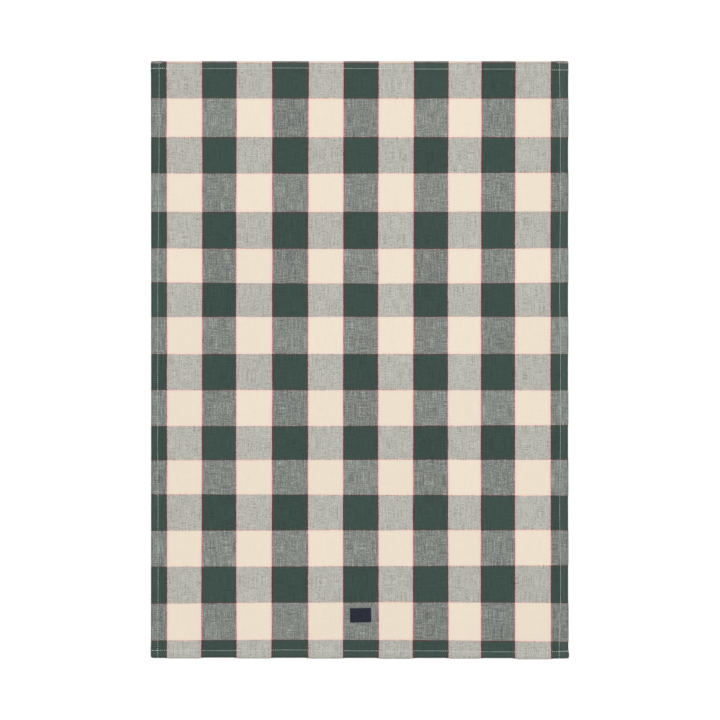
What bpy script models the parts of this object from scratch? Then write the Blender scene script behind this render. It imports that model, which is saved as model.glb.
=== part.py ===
"""Tea towel: checked cloth hemmed on four sides, with a small woven label sewn on its face.

Run it with: blender --background --python part.py, or from Blender's text editor.
Metres, +Z up. The towel lies on its back at z = 0, with its length along Y, its face up and
its label near the lower (-Y) edge. The origin is under the middle of its outline.

Places on the cloth are given as two distances: s, from the left edge, and d, from the lower edge.
"""

from collections import namedtuple
import math

import bmesh
import bpy
from mathutils import Vector

MM = 0.001

# The cloth
WIDTH = 488.8 * MM
LENGTH = 699 * MM  # from the top fold to the lower fold of the green bands
CLOTH_THICKNESS = 1.0 * MM
HEM_RISE = 0.8 * MM  # two more layers lie under each hem
STITCH_GROOVE = 0.25 * MM
STITCH_PULL = 1.0 * MM  # how far the groove reaches to each side of the stitches
HEM_RAMP = 1.2 * MM  # the cloth comes down to the surface over this, inside the hem
FOLD_RADIUS = 1.0 * MM
CORNER_RADIUS = 2.0 * MM
SIDE_BOW = 0.3 * MM  # the two sides curve in by this at half height
RIPPLE = 0.15 * MM
RIPPLE_LENGTHS = (163 * MM, 127 * MM)  # across and along the towel
RIPPLE_START = 20 * MM
FIELD_ROWS = 18  # steps between the lower and the upper hem

Hem = namedtuple("Hem", "width stitch")  # depth of the turning, and of its stitch line
LEFT_HEM = Hem(10.2 * MM, 8.4 * MM)
RIGHT_HEM = Hem(11.4 * MM, 9.6 * MM)
LOWER_HEM = Hem(10.2 * MM, 8.4 * MM)
UPPER_HEM = Hem(10.9 * MM, 9.1 * MM)

# The lengthwise bands, from the left edge. The loose cream bands reach lower than the green ones.
Band = namedtuple("Band", "width reach")
BANDS = (
    Band(19.0 * MM, 0.00 * MM),
    Band(41.2 * MM, 1.10 * MM),
    Band(39.6 * MM, -0.35 * MM),
    Band(42.7 * MM, 0.70 * MM),
    Band(42.1 * MM, -0.15 * MM),
    Band(40.5 * MM, 1.15 * MM),
    Band(41.1 * MM, 0.00 * MM),
    Band(40.8 * MM, 1.15 * MM),
    Band(41.0 * MM, 0.10 * MM),
    Band(38.4 * MM, 1.25 * MM),
    Band(40.2 * MM, 0.25 * MM),
    Band(41.7 * MM, 1.70 * MM),
    Band(20.7 * MM, 0.65 * MM),
)
BAND_STEP = 1.6 * MM  # the edge changes its reach over this, at a band's border
REACH_DEPTH = 12 * MM  # above this distance from the lower edge the reach has died out
LOWEST = max(band.reach for band in BANDS)

# The lower hem's folded end sticks out past the right side, at the lower right corner.
HEM_END_OUT = 0.8 * MM
HEM_END_DEPTH = 10 * MM

# The label
LABEL_WIDTH = 24.9 * MM
LABEL_HEIGHT = 16.6 * MM
LABEL_PLACE = Vector((245.5 * MM, 50.0 * MM))
LABEL_TILT = math.radians(1.2)
LABEL_END = 5.0 * MM  # each end is folded under by this
LABEL_STEP = 1.0 * MM
LABEL_THICKNESS = 0.45 * MM
LABEL_END_THICKNESS = 0.65 * MM
LABEL_EDGE = 0.3 * MM
GAP = 0.3 * MM

# The colours that each piece shows from a few steps away, in sRGB
CLOTH_COLOUR = (0.604, 0.612, 0.573)
LABEL_COLOUR = (0.130, 0.137, 0.190)


def clear_scene():
    for old in list(bpy.data.objects):
        bpy.data.objects.remove(old, do_unlink=True)


def linear(channel):
    """An sRGB channel as the linear value that Blender's shaders take."""
    return channel / 12.92 if channel <= 0.04045 else ((channel + 0.055) / 1.055) ** 2.4


def make_material(name, colour, roughness):
    material = bpy.data.materials.new(name)
    material.use_nodes = True
    shader = material.node_tree.nodes["Principled BSDF"]
    shader.inputs["Base Color"].default_value = (*(linear(c) for c in colour), 1)
    shader.inputs["Roughness"].default_value = roughness
    shader.inputs["Metallic"].default_value = 0
    return material


def between(value, table):
    """The value read off a table of (place, value) rows, straight between the rows."""
    if value <= table[0][0]:
        return table[0][1]
    for (start, low), (end, high) in zip(table, table[1:]):
        if value <= end:
            return low + (high - low) * (value - start) / (end - start)
    return table[-1][1]


def hem_profile(hem):
    """Rows of (distance from the fold, height over the open cloth) across one hem."""
    return (
        (0, -0.2 * CLOTH_THICKNESS),
        (0.35 * FOLD_RADIUS, 0.6 * HEM_RISE),
        (FOLD_RADIUS, 0.95 * HEM_RISE),
        (CORNER_RADIUS, HEM_RISE),
        (hem.stitch - STITCH_PULL, HEM_RISE),
        (hem.stitch, HEM_RISE - STITCH_GROOVE),
        (hem.stitch + STITCH_PULL, HEM_RISE),
        (hem.width + 0.2 * HEM_RAMP, 0.9 * HEM_RISE),
        (hem.width + HEM_RAMP, 0),
    )


def band_edges():
    """The border between each two bands, as a distance from the left edge."""
    edges = []
    for band in BANDS[:-1]:
        edges.append((edges[-1] if edges else 0) + band.width)
    return edges


def reach_profile():
    """Rows of (distance from the left edge, reach of the lower fold)."""
    rows = [(0, BANDS[0].reach)]
    for edge, left, right in zip(band_edges(), BANDS, BANDS[1:]):
        rows.append((edge - BAND_STEP / 2, left.reach))
        rows.append((edge + BAND_STEP / 2, right.reach))
    rows.append((WIDTH, BANDS[-1].reach))
    return rows


def hem_end_out(from_right, d):
    """How far the lower hem's folded end pushes the cloth out to the right."""
    along = between(d, ((LOWER_HEM.stitch - STITCH_PULL, 1), (LOWER_HEM.stitch, 0)))
    return HEM_END_OUT * along * max(0, 1 - from_right / HEM_END_DEPTH)


def round_corner(s, d):
    """Moves a point of a square corner onto a round one: its two edges become one arc."""
    if s >= CORNER_RADIUS or d >= CORNER_RADIUS:
        return s, d
    a = 1 - s / CORNER_RADIUS
    b = 1 - d / CORNER_RADIUS
    return (
        CORNER_RADIUS * (1 - a * math.sqrt(1 - b * b / 2)),
        CORNER_RADIUS * (1 - b * math.sqrt(1 - a * a / 2)),
    )


def ripple(s, d):
    """The slight unevenness of the open cloth, which the hems hold flat."""
    from_edge = min(s, WIDTH - s, d, LENGTH - d)
    fade = between(from_edge, ((RIPPLE_START, 0), (2 * RIPPLE_START, 1)))
    across = 2 * math.pi * s / RIPPLE_LENGTHS[0]
    along = 2 * math.pi * d / RIPPLE_LENGTHS[1]
    return RIPPLE * fade * math.sin(across + 0.6) * math.sin(along + 0.5 * math.sin(across))


def towel_top(s, d):
    """The top of the cloth over one place of its flat outline."""
    from_right, from_top = WIDTH - s, LENGTH - d
    side_hem = LEFT_HEM if s < from_right else RIGHT_HEM
    end_hem = LOWER_HEM if d < from_top else UPPER_HEM
    height = CLOTH_THICKNESS + ripple(s, d)
    height += between(min(s, from_right), hem_profile(side_hem))
    height += between(min(d, from_top), hem_profile(end_hem))

    near_s, near_d = round_corner(min(s, from_right), min(d, from_top))
    bow = SIDE_BOW * math.sin(math.pi * d / LENGTH) * (1 - 2 * min(s, from_right) / WIDTH)
    x = near_s + bow if s < from_right else WIDTH - near_s - bow
    x += hem_end_out(from_right, d)
    y = near_d if d < from_top else LENGTH - near_d
    y -= between(s, reach_profile()) * max(0, 1 - d / REACH_DEPTH)
    return Vector((x, y, height))


def label_top(s, d):
    """The top of the label over one place of its outline, from its lower left corner."""
    from_end, from_side = min(s, LABEL_WIDTH - s), min(d, LABEL_HEIGHT - d)
    folds = ((LABEL_END, LABEL_END_THICKNESS), (LABEL_END + LABEL_STEP, LABEL_THICKNESS))
    rim = ((0, 0.6), (LABEL_EDGE, 1))
    height = between(from_end, folds) * between(min(from_end, from_side), rim)
    return Vector((s - LABEL_WIDTH / 2, d - LABEL_HEIGHT / 2, height))


def make_sheet(name, across, along, top, foot_inset, material):
    """A closed sheet, flat underneath at its own z = 0, whose top follows a function.

    across and along are the places of the grid's columns and rows. foot_inset rounds the
    lower rim: the underside is that much smaller all round.
    """
    bm = bmesh.new()
    columns, rows = len(across) - 1, len(along) - 1
    bmesh.ops.create_grid(bm, x_segments=columns, y_segments=rows, size=1)
    for vert in bm.verts:
        column = round((vert.co.x + 1) / 2 * columns)
        row = round((vert.co.y + 1) / 2 * rows)
        vert.co = top(across[column], along[row])

    lower = bmesh.ops.extrude_face_region(bm, geom=list(bm.faces))["geom"]
    underside = [face for face in lower if isinstance(face, bmesh.types.BMFace)]
    for vert in {vert for face in underside for vert in face.verts}:
        vert.co.z = 0
    foot = bmesh.ops.dissolve_faces(bm, faces=underside)["region"]
    rim = list(foot[0].verts)
    middle = sum((vert.co for vert in rim), Vector()) / len(rim)
    half = Vector((across[-1] - across[0], along[-1] - along[0])) / 2
    for vert in rim:
        vert.co.x += (middle.x - vert.co.x) * foot_inset / half.x
        vert.co.y += (middle.y - vert.co.y) * foot_inset / half.y
    bmesh.ops.triangulate(bm, faces=foot)
    bmesh.ops.recalc_face_normals(bm, faces=bm.faces)

    mesh = bpy.data.meshes.new(name)
    bm.to_mesh(mesh)
    bm.free()
    mesh.shade_smooth()
    mesh.set_sharp_from_angle(angle=math.radians(40))
    mesh.materials.append(material)
    return bpy.data.objects.new(name, mesh)


def make_towel():
    """The cloth: its columns follow the two side hems and the borders of the bands."""
    across = [distance for distance, _ in hem_profile(LEFT_HEM)]
    across += [edge + side * BAND_STEP / 2 for edge in band_edges() for side in (-1, 1)]
    across += [edge + band.width / 2 for edge, band in zip(band_edges(), BANDS[1:-1])]
    across += [WIDTH - distance for distance, _ in hem_profile(RIGHT_HEM)]

    lower = [distance for distance, _ in hem_profile(LOWER_HEM)]
    upper = [LENGTH - distance for distance, _ in hem_profile(UPPER_HEM)][::-1]
    step = (upper[0] - lower[-1]) / FIELD_ROWS
    field = [lower[-1] + step * row for row in range(1, FIELD_ROWS)]
    material = make_material("checked_cloth", CLOTH_COLOUR, 0.9)
    return make_sheet("towel", sorted(across), lower + field + upper, towel_top, 0.3 * MM, material)


def make_label():
    """The label: one thickness in its middle, two at its folded ends."""
    ends = [0, LABEL_EDGE, LABEL_END, LABEL_END + LABEL_STEP]
    across = ends + [LABEL_WIDTH - place for place in reversed(ends)]
    along = [0, LABEL_EDGE, LABEL_HEIGHT / 2, LABEL_HEIGHT - LABEL_EDGE, LABEL_HEIGHT]
    material = make_material("woven_label", LABEL_COLOUR, 0.7)
    label = make_sheet("label", across, along, label_top, 0.1 * MM, material)
    label.location = (*LABEL_PLACE, CLOTH_THICKNESS + RIPPLE + GAP)
    label.rotation_euler.z = LABEL_TILT
    return label


def main():
    clear_scene()
    collection = bpy.data.collections.new("tea_towel")
    bpy.context.scene.collection.children.link(collection)

    # The sizes run from the lower left corner, so this carries that corner to its place.
    corner = bpy.data.objects.new("lower_left_corner", None)
    corner.location = (-(WIDTH + HEM_END_OUT) / 2, -(LENGTH - LOWEST) / 2, 0)
    collection.objects.link(corner)
    for piece in (make_towel(), make_label()):
        piece.parent = corner
        collection.objects.link(piece)


main()
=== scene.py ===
"""Tea towel: the looks of a checked, hemmed cloth with a small woven label, laid flat.

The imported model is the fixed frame. It is in metres, +Z up, with the towel on its back at z = 0,
its length along Y and its label near the lower (-Y) edge. Each operator makes one piece or one
group of like pieces, and the panel in the 3D view's sidebar lists them.

Places on the cloth are given as two distances: s, from its left fold, and d, from its lower fold.
A third, z, is the height over what the towel lies on.
"""

from collections import namedtuple
import math

import bpy
from bpy.props import FloatProperty, FloatVectorProperty, IntProperty, PointerProperty
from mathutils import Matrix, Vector
import numpy as np


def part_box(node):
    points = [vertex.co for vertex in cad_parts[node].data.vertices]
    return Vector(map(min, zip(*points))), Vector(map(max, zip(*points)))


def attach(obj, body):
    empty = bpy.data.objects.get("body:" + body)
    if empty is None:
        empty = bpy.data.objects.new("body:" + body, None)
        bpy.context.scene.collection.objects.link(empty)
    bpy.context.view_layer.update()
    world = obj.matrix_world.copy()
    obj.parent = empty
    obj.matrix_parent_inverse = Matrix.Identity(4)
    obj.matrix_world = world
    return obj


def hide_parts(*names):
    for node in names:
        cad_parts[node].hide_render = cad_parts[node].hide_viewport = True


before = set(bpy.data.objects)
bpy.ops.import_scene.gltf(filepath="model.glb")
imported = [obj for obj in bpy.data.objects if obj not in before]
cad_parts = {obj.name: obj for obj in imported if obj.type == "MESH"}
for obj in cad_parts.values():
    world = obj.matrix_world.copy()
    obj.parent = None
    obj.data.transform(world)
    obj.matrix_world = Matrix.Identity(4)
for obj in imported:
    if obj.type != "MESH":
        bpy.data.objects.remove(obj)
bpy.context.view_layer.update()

bl_info = {
    "name": "Tea Towel",
    "version": (1, 0, 0),
    "blender": (4, 5, 0),
    "location": "View3D > Sidebar > Tea Towel",
    "description": "Makes a checked tea towel with turned hems, their stitches and a woven label",
    "category": "Add Mesh",
}

MM = 0.001

# The bands of the lengthwise yarns, the warp, in mm. A band starts at s = start, and its border
# sways to the right by low, middle and high at the towel's lower edge, half way and upper edge.
# The lower fold hangs by reach below d = 0. The first band is green, and green and cream take turns.
WarpBand = namedtuple("WarpBand", "start low middle high reach")
WARP_BANDS = (
    WarpBand(-22.0, 0.0, 0.0, 0.0, 0.0),
    WarpBand(18.6, 0.4, 0.05, -0.2, 0.65),
    WarpBand(59.5, -0.75, 0.2, 0.45, -0.35),
    WarpBand(100.2, 0.2, -0.5, 0.55, 0.7),
    WarpBand(141.6, -0.5, 0.2, 0.35, -0.15),
    WarpBand(184.4, 0.05, -0.35, 0.65, 0.8),
    WarpBand(225.2, -0.25, -0.1, 0.4, 0.0),
    WarpBand(266.6, 0.6, -0.4, 0.4, 1.15),
    WarpBand(307.3, -0.65, 0.05, 0.65, 0.1),
    WarpBand(348.4, 0.4, -0.4, 0.4, 0.95),
    WarpBand(386.7, -0.3, -0.05, 0.55, 0.25),
    WarpBand(426.8, -0.15, -0.1, 0.3, 1.7),
    WarpBand(468.5, 0.1, -0.15, -0.1, 0.65),
)

# The bands of the crosswise yarns, the weft, in mm. A band starts at d = start, and its border
# sways up by left, middle and right from the towel's left edge to its right one.
WeftBand = namedtuple("WeftBand", "start left middle right")
WEFT_BANDS = (
    WeftBand(-21.0, 0.0, 0.0, 0.0),
    WeftBand(20.5, -0.2, 0.7, -1.5),
    WeftBand(64.3, -1.05, 0.6, -0.25),
    WeftBand(107.7, -0.65, -0.3, 1.1),
    WeftBand(149.1, -0.4, 0.2, 0.3),
    WeftBand(191.0, 0.7, 0.15, -0.95),
    WeftBand(231.8, -0.8, 0.1, 0.05),
    WeftBand(272.1, -0.35, -0.35, 0.8),
    WeftBand(313.5, -0.1, -0.1, -0.35),
    WeftBand(356.0, -0.1, 0.05, 0.1),
    WeftBand(399.3, -0.25, 0.05, 0.05),
    WeftBand(439.2, 1.0, -0.7, 0.6),
    WeftBand(479.2, 0.3, -0.3, 0.45),
    WeftBand(522.6, -0.05, -0.2, 0.4),
    WeftBand(567.5, -0.1, -0.3, 0.8),
    WeftBand(610.0, 0.2, 0.0, 0.0),
    WeftBand(655.0, 0.3, -0.1, 0.2),
    WeftBand(697.0, 0.6, 0.0, 0.7),
)
BAND_WIDTH = 41.0  # in mm, of a whole band of either kind, as a rule

# The borders wander a little to each side, in two waves whose radians are this long.
WANDER = 0.15 * MM
WANDER_RADIANS = (23 * MM, 11 * MM)
WARP_SEED = 11
WEFT_SEED = 12

# How far each line of hem stitches runs from its fold, in mm, at even steps along it: the side
# lines from the lower end up, and the lower and upper lines from the left.
LEFT_LINE = (8.1, 8.4, 8.2, 7.6, 7.8, 7.8, 8.9, 9.5, 9.8)
RIGHT_LINE = (10.8, 8.9, 9.9, 9.0, 8.8, 10.0, 9.2, 9.1, 10.4)
LOWER_LINE = (9.1, 8.5, 9.4, 8.4, 8.5, 7.4, 7.9)
UPPER_LINE = (8.8, 8.8, 8.1, 8.8, 9.4, 9.5, 10.6)

# Where a line of stitches is sewn over again to lock it, in mm, at the corners of the towel
BackTack = namedtuple("BackTack", "from_s from_d to_s to_d")
BACK_TACKS = (
    BackTack(3.0, 690.4, 14.0, 690.4),
    BackTack(479.8, 688.4, 487.2, 688.6),
    BackTack(2.6, 8.9, 7.2, 8.9),
    BackTack(478.5, 7.9, 487.2, 9.1),
)

# The cloth's outline. The frame gives its size, and the rest is what its folds do.
HEM_END_OUT = 0.8 * MM  # the lower hem's folded end sticks out by this at the lower right corner
HEM_END_DEPTH = 10 * MM
HEM_END_STEP = 3.2 * MM  # the side comes back to its line over this
CORNER_RADIUS = 2.0 * MM
SIDE_BOW = 0.3 * MM  # the two sides curve in by this at half height
BAND_STEP = 5.0 * MM  # the lower fold changes its reach over this, at a border
REACH_DEPTH = 14 * MM  # above this the lower fold's reach has died out
CREAM_ROW_OUT = 0.45 * MM  # the cream rows reach this much further out at the right side

CLOTH_LOW, CLOTH_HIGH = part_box("towel")
REACH = max(band.reach for band in WARP_BANDS) * MM
LEFT = CLOTH_LOW.x
LOWER = CLOTH_LOW.y + REACH
WIDTH = CLOTH_HIGH.x - CLOTH_LOW.x - HEM_END_OUT
LENGTH = CLOTH_HIGH.y - CLOTH_LOW.y - REACH

# How a hem is turned
EDGE_BEYOND_STITCH = 1.8 * MM  # from the stitch line to the turned edge
HEM_SLOPE = 3.6 * MM  # the cloth comes down from the hem's three layers over this
RAW_EDGE_GAP = 0.8 * MM  # from the cut edge, inside the hem, to the bend of its fold
STITCH_PULL = 1.0 * MM  # how far the groove of the stitches reaches to each side of them

# The stations on a hem's way: shares of each straight stretch, and steps round each bend
SLOPE_SHARES = (1, 0.67, 0.33, 0)
BACK_SHARES = (0.4, 0.76, 0.88)
INSIDE_SHARES = (0.5, 1)
OUTER_STEPS = 6
INNER_STEPS = 4
FACE_STATIONS = 8  # how many come before the outer bend

# The slow waves of the open cloth. The hems hold it down at the first distance from its edge, and
# it is free at the second.
OPEN_WAVES = 7
OPEN_WAVE_LENGTHS = (85 * MM, 210 * MM)  # of the shortest and the longest
OPEN_WAVE_SUM = 3  # what the waves together seldom pass
OPEN_WAVE_FADE = (8 * MM, 34 * MM)

# The puckers beside the stitches, by the distance from them into the cloth
PUCKER_LENGTHS = (8 * MM, 13 * MM, 23 * MM, 41 * MM)
PUCKER_START = -6 * MM
PUCKER_PEAK = 3 * MM
PUCKER_END = 22 * MM

# How the stitches are rounded and run
STITCH_STEPS = 5
THREAD_SIDES = 6
LINE_STEP = 1.5 * MM
LINE_END = 1.2 * MM  # a line of stitches ends this far inside the folds
TACK_POINTS = 8
BOBBIN_CLEAR = 0.08 * MM  # the bobbin thread lies in its own groove, this far above the floor
BOBBIN_BEND = 0.2  # it bends down between its ends by this share of its width

# A value for each kind of square of the check. In a cream_warp square cream lengthwise yarns cross
# green ones, and in a green_warp square green lengthwise yarns cross cream ones.
Squares = namedtuple("Squares", "green cream_warp green_warp cream")

# The yarns' unevenness: streaks of thick and thin places, in mm, each with its share of the whole
Streaks = namedtuple("Streaks", "across along share")
YARN_STREAKS = (
    Streaks(0.7, 20, 0.87),
    Streaks(0.6, 2.6, 0.6),
    Streaks(16, 0.6, 0.66),
)
WEAVE_SHARE = 0.1
SPECK_SPREAD = 1.5  # how much one crossing of two yarns differs from the next
SLUB_SIZE = (3.5 * MM, 1.0 * MM)  # a thick place in a crosswise yarn, across and along the towel

# How strongly the whole, its boldest flecks, its slubs and a square's density show in each square
STREAK_DEPTH = Squares(green=0.63, cream_warp=0.55, green_warp=1.33, cream=0.065)
FLECK_DEPTH = Squares(green=0, cream_warp=-0.35, green_warp=0.8, cream=0)
SLUB_DEPTH = Squares(green=0, cream_warp=-0.22, green_warp=0.3, cream=0)
DENSITY_SPREAD = Squares(green=0.12, cream_warp=0.05, green_warp=0.22, cream=0.03)

# The borders between the bands, and the red yarns beside them. Widths are shares of a band.
RAGGED = 0.012  # a border is ragged by this, which is about one crossing
RED_SOFT = 0.004  # the red of a yarn fades over this at its side
RED_PATCH = (60 * MM, 30 * MM)  # the crosswise red yarn comes and goes in patches of this size
RIGHT_ENDS_SHOWN = 0.74  # the red yarns at a band's right border show this much of the left ones
TINGE_START = 0.6 / BAND_WIDTH  # the tinge is full up to here
PICK_TINGE = 0.4  # a crosswise red yarn tinges its neighbours by this much of a lengthwise one
TINGE_LEAVES = (1, 0.89, 0.96, 1)  # the share of each colour that the red fluff leaves
TINGE_ADDS = (0.02, 0, 0)
RED_UNEVEN = 1.2  # how strongly the yarns' unevenness shows in the red ones

# How much painted shade darkens the folds and the stitch grooves, and how much painted light makes the hems
# paler outside their stitches
FOLD_SHADE_REACH = (0.8 * MM, 2.6 * MM)  # painted shade is full on a fold up to the first, and gone past the second
FOLD_PAINTED_SHADE = 0.12
GROOVE_WIDTH = 1.1 * MM  # to each side of the stitches
GROOVE_PAINTED_SHADE = 0.4  # as a share of a fold
HEM_LIGHT_FADE = 1.5 * MM
HEM_PAINTED_LIGHT = (0.007, 0.0127, 0.009, 0.0075)  # painted light on the left, right, lower and upper hems, as shares of white

# The label
LABEL_LOW, LABEL_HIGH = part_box("label")
LABEL_MIDDLE = (LABEL_LOW + LABEL_HIGH) / 2
LABEL_WIDTH = 24.9 * MM
LABEL_HEIGHT = 16.6 * MM
LABEL_TILT = math.radians(1.2)
LABEL_COLUMNS = 33  # across its face, between the bends of its ends
LABEL_ROWS = 23
LABEL_STEPS = 5  # round each bend, and along what is folded under
LABEL_CLEAR = 0.04 * MM  # the label lies this far above the cloth
LABEL_EDGE = 0.5 * MM  # its woven edges get thinner over this
LABEL_EDGE_THINNER = 0.15
LABEL_PULL = 0.9 * MM  # its stitches press it together this far to each side of them
LABEL_PRESSED = 0.2
LABEL_RIB = 0.6 * MM
LABEL_STEP = (-0.3 * MM, 1.2 * MM)  # where its face comes down, from the edge of what is folded under
LABEL_LINE_END = 0.8 * MM  # from the label's edge to the end of its stitches
LABEL_LINE_POINTS = 12
LABEL_LINE_LAYERS = 1.72  # the pressed layers under the stitches, counted in loose ones
LABEL_THREAD_LIGHTER = 1.5

# The stage, in metres
KEY_PLACE = (0.1, 0.55, 2.0)
CAMERA_PLACE = (0.1 * MM, 0.25 * MM)  # the middle of the picture, from the towel's
SENSOR = 36  # the width of the camera's sensor in millimetres


def size(name, description, default):
    """A length that a user may change."""
    return FloatProperty(
        name=name, description=description, default=default, precision=5, subtype="DISTANCE", unit="LENGTH"
    )


def share(name, description, default):
    """A plain number that a user may change, mostly from 0 to 1."""
    return FloatProperty(name=name, description=description, default=default, min=0, precision=3)


def linear(colour):
    """An sRGB hex colour as the linear numbers that Blender's shaders take."""
    channels = [int(colour[i : i + 2], 16) / 255 for i in (1, 3, 5)]
    return [c / 12.92 if c <= 0.04045 else ((c + 0.055) / 1.055) ** 2.4 for c in channels]


def colour(name, description, default):
    """A colour that a user may change, given as sRGB hex."""
    return FloatVectorProperty(
        name=name, description=description, default=linear(default), min=0, max=1, subtype="COLOR"
    )


class ClothSettings(bpy.types.PropertyGroup):
    """Sizes of the towel's cloth."""

    thickness: size("Thickness", "Thickness of one layer of the cloth", 0.5 * MM)
    layer: size("Layer", "From the middle of one layer in a hem to the next", 0.54 * MM)
    spacing: size("Spacing", "Size of the open cloth's faces", 3.75 * MM)
    squeeze: share("Squeeze", "Share of the height that the nine layers of a corner lose", 0.56)
    groove: share("Groove", "Share of a hem's height that its stitches pull in", 0.3)
    lift: size("Lift", "How far the open cloth lies over the surface, at most places", 0.5 * MM)
    wave: size("Wave", "How far the open cloth rises and falls from that", 0.35 * MM)
    pucker: size("Pucker", "Height of the small waves along the stitches", 0.18 * MM)
    seed: IntProperty(name="Seed", description="Picks where the waves and puckers lie", default=7)


class CheckSettings(bpy.types.PropertyGroup):
    """Colours and unevenness of the check."""

    green: colour("Green", "Green lengthwise yarns crossed by green ones", "#32433D")
    cream: colour("Cream", "Cream lengthwise yarns crossed by cream ones", "#DBCFBD")
    green_warp: colour("Green warp", "Green lengthwise yarns crossed by cream ones", "#717571")
    cream_warp: colour("Cream warp", "Cream lengthwise yarns crossed by green ones", "#ABAAA2")
    red_on_green: colour("Red on green", "Red yarns crossed by green ones", "#532930")
    end_on_cream: colour("End on cream", "Lengthwise red yarns crossed by cream ones", "#A2746E")
    pick_on_cream: colour("Pick on cream", "Crosswise red yarns crossed by cream ones", "#CEA28E")
    uneven: share("Uneven", "How strong the streaks in the squares are", 1.0)
    red_end: size("Red end", "Width of the red yarns beside a lengthwise border", 1.3 * MM)
    red_pick: size("Red pick", "Width of the red yarn beside a crosswise border", 0.6 * MM)
    tinge: size("Tinge", "How far the fluff of the red yarns tinges their neighbours", 3.4 * MM)
    yarn: size("Yarn", "From one yarn to the next, both ways", 0.55 * MM)


class StitchSettings(bpy.types.PropertyGroup):
    """Sizes and colour of the stitches."""

    length: size("Length", "From one needle hole to the next", 2.45 * MM)
    side_thread: size("Side thread", "Width of the thread along the two long sides", 0.64 * MM)
    end_thread: size("End thread", "Width of the thread along the two short ends", 0.65 * MM)
    shown: share("Shown", "Share of each stitch that lies on top of the cloth", 0.42)
    dip: size("Dip", "How deep a stitch goes down at its ends", 0.45 * MM)
    unevenness: share("Unevenness", "How much the stitches differ, as a share of their size", 0.12)
    thread: colour("Thread", "The sewing thread's colour", "#D9EBE5")
    seed: IntProperty(name="Seed", description="Picks how the stitches differ", default=3)


class LabelSettings(bpy.types.PropertyGroup):
    """Sizes and colour of the label."""

    thickness: size("Thickness", "Thickness of the label's ribbon", 0.28 * MM)
    layer: size("Layer", "From one layer to the next at a folded end", 0.32 * MM)
    turned: size("Turned", "How much of each end is folded under", 5.0 * MM)
    stitch_inset: size("Stitch inset", "From a folded end to its stitches", 1.3 * MM)
    stitch: size("Stitch", "Length of one of the label's stitches", 2.0 * MM)
    thread: size("Thread", "Width of the label's thread", 0.26 * MM)
    ground: colour("Ground", "The ribbon's colour", "#1C1E2D")


class StageSettings(bpy.types.PropertyGroup):
    """The floor, the light and the camera."""

    floor_size: size("Floor", "Side of the square floor", 8.0)
    sky: share("Sky", "Strength of the even light from all round", 0.95)
    key: share("Key", "Power of the soft light beyond the towel's upper end, in watts", 14.0)
    key_size: size("Key size", "Side of the soft light", 1.6)
    lens: share("Lens", "The camera's focal length in millimetres", 85.0)
    view_width: size("View width", "What the camera sees of the surface, from side to side", 0.84365)


def smooth(value, start, end):
    """0 before start and 1 after end, with a smooth slope between."""
    part = np.clip((value - start) / (end - start), 0, 1)
    return part * part * (3 - 2 * part)


def along_line(values, part):
    """The value at part (0 to 1) of the way along evenly spaced values, smooth between them."""
    values = np.asarray(values)
    place = np.clip(part, 0, 1) * (len(values) - 1)
    before = np.minimum(place.astype(int), len(values) - 2)
    step = smooth(place - before, 0, 1)
    return values[before] * (1 - step) + values[before + 1] * step


def stitch_lines(s, d):
    """The distances from each fold to its stitch line: left, right, lower and upper."""
    return (
        along_line(LEFT_LINE, d / LENGTH) * MM,
        along_line(RIGHT_LINE, d / LENGTH) * MM,
        along_line(LOWER_LINE, s / WIDTH) * MM,
        along_line(UPPER_LINE, s / WIDTH) * MM,
    )


def hem_share(inset, line):
    """1 on a hem and 0 on the open cloth, by the distance from its fold."""
    edge = line + EDGE_BEYOND_STITCH
    return 1 - smooth(inset, edge, edge + HEM_SLOPE)


def hem_shares(s, d):
    """How much a place is on a side hem, and how much on an end hem."""
    left, right, lower, upper = stitch_lines(s, d)
    side = hem_share(s, left) + hem_share(WIDTH - s, right)
    end = hem_share(d, lower) + hem_share(LENGTH - d, upper)
    return side, end


def sway(start, middle, end, part):
    """A bent line through three values, at part (0 to 1) of the way."""
    return start * (1 - part) * (1 - 2 * part) + middle * 4 * part * (1 - part) + end * part * (2 * part - 1)


def band_number(place, starts):
    """Which band a place is in: a whole number at each border and even steps between."""
    after = starts[-1] + BAND_WIDTH * MM
    borders = np.stack([*starts, after])
    number = np.zeros_like(place)
    for low, high in zip(borders, borders[1:]):
        number += np.clip((place - low) / (high - low), 0, 1)
    return number


def small_waves(place, seed, count):
    """Slight wandering along each of count lines, from -1 to 1, the same each run."""
    picks = np.random.default_rng(seed)
    rows = []
    for _ in range(count):
        phases = picks.uniform(0, 2 * math.pi, len(WANDER_RADIANS))
        waves = [np.sin(place / radian + phase) for radian, phase in zip(WANDER_RADIANS, phases)]
        rows.append(sum(waves) / len(waves))
    return rows


def band_numbers(s, d):
    """The warp band and the weft band at each place on the flat cloth."""
    warp_waves = small_waves(d, WARP_SEED, len(WARP_BANDS))
    weft_waves = small_waves(s, WEFT_SEED, len(WEFT_BANDS))
    up, across = np.clip(d / LENGTH, 0, 1), np.clip(s / WIDTH, 0, 1)
    warp_starts = [
        (band.start + sway(band.low, band.middle, band.high, up)) * MM + WANDER * wave
        for band, wave in zip(WARP_BANDS, warp_waves)
    ]
    weft_starts = [
        (band.start + sway(band.left, band.middle, band.right, across)) * MM + WANDER * wave
        for band, wave in zip(WEFT_BANDS, weft_waves)
    ]
    return band_number(s, warp_starts), band_number(d, weft_starts)


def lower_reach(s):
    """How far the lower fold hangs below d = 0."""
    reach = np.full_like(s, WARP_BANDS[0].reach)
    for before, band in zip(WARP_BANDS, WARP_BANDS[1:]):
        border = (band.start + band.low) * MM
        step = smooth(s, border - BAND_STEP / 2, border + BAND_STEP / 2)
        reach += (band.reach - before.reach) * step
    return reach * MM


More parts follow.
